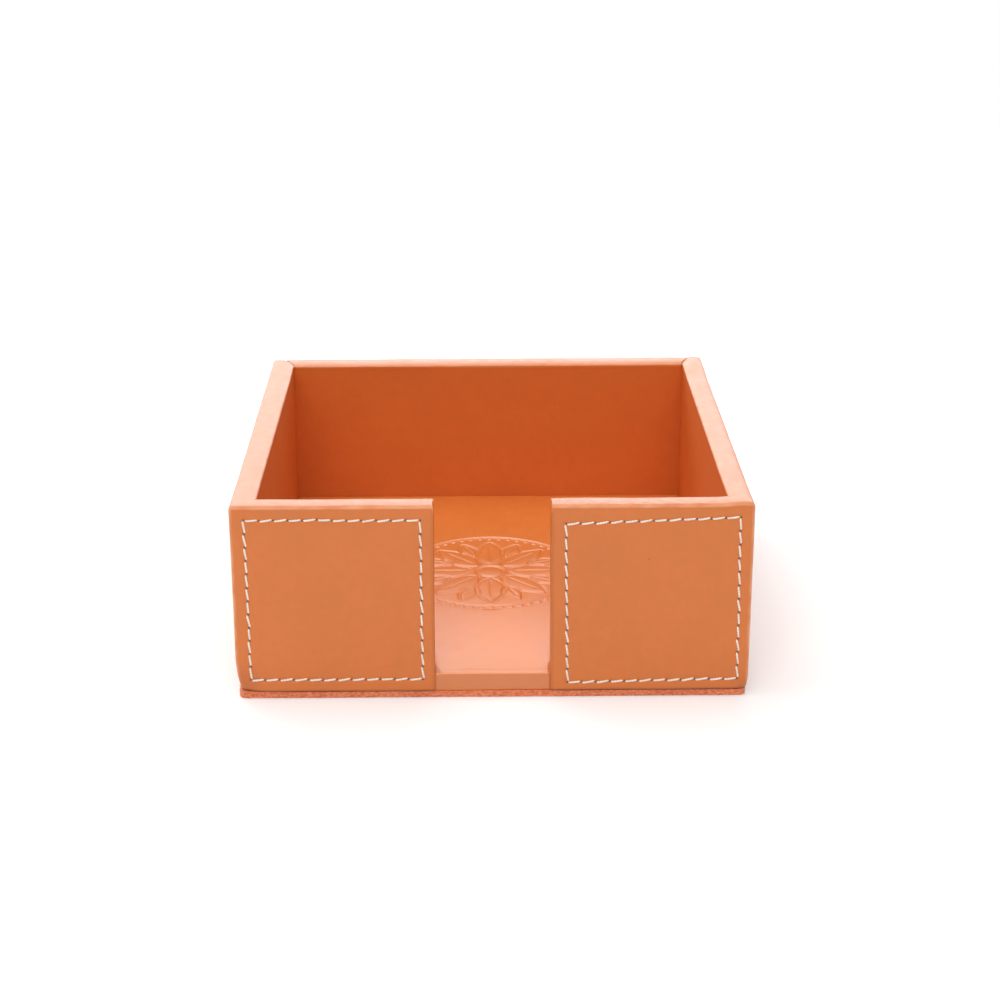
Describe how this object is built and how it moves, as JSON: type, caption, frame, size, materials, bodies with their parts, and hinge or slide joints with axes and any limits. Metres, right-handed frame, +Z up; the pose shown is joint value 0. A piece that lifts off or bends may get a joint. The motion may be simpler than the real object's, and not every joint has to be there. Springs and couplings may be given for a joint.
{
  "type": "memo holder",
  "caption": "Square leather-covered desk tray for memo sheets, with an open top, a finger notch through the front wall, stitched front panels, a padded embossed floor and a suede base.",
  "frame": {"origin": "middle of the footprint, on the underside of the suede pad", "axes": "+Z up; the notched front faces -Y; +X to the right as seen from the front"},
  "size_m": [0.115, 0.1153, 0.046],
  "materials": {
    "cover_leather": "smooth orange tan leather, satin",
    "lining_leather": "smooth orange tan leather, matte",
    "floor_leather": "smooth orange tan leather, polished",
    "suede": "orange suede, napped",
    "thread": "waxed linen thread, natural",
    "fibreboard": "raw medium density fibreboard",
    "foam": "thin padding foam"
  },
  "bodies": {
    "root": {"base_board": "fibreboard", "left_board": "fibreboard", "right_board": "fibreboard", "back_board": "fibreboard", "front_left_board": "fibreboard", "front_right_board": "fibreboard", "left_lining": "lining_leather", "right_lining": "lining_leather", "back_lining": "lining_leather", "front_left_lining": "lining_leather", "front_right_lining": "lining_leather", "left_cover": "cover_leather", "right_cover": "cover_leather", "back_cover": "cover_leather", "floor_padding": "foam", "floor_leather": "floor_leather", "base_pad": "suede", "left_stitching": "thread", "right_stitching": "thread"}
  },
  "joints": []
}
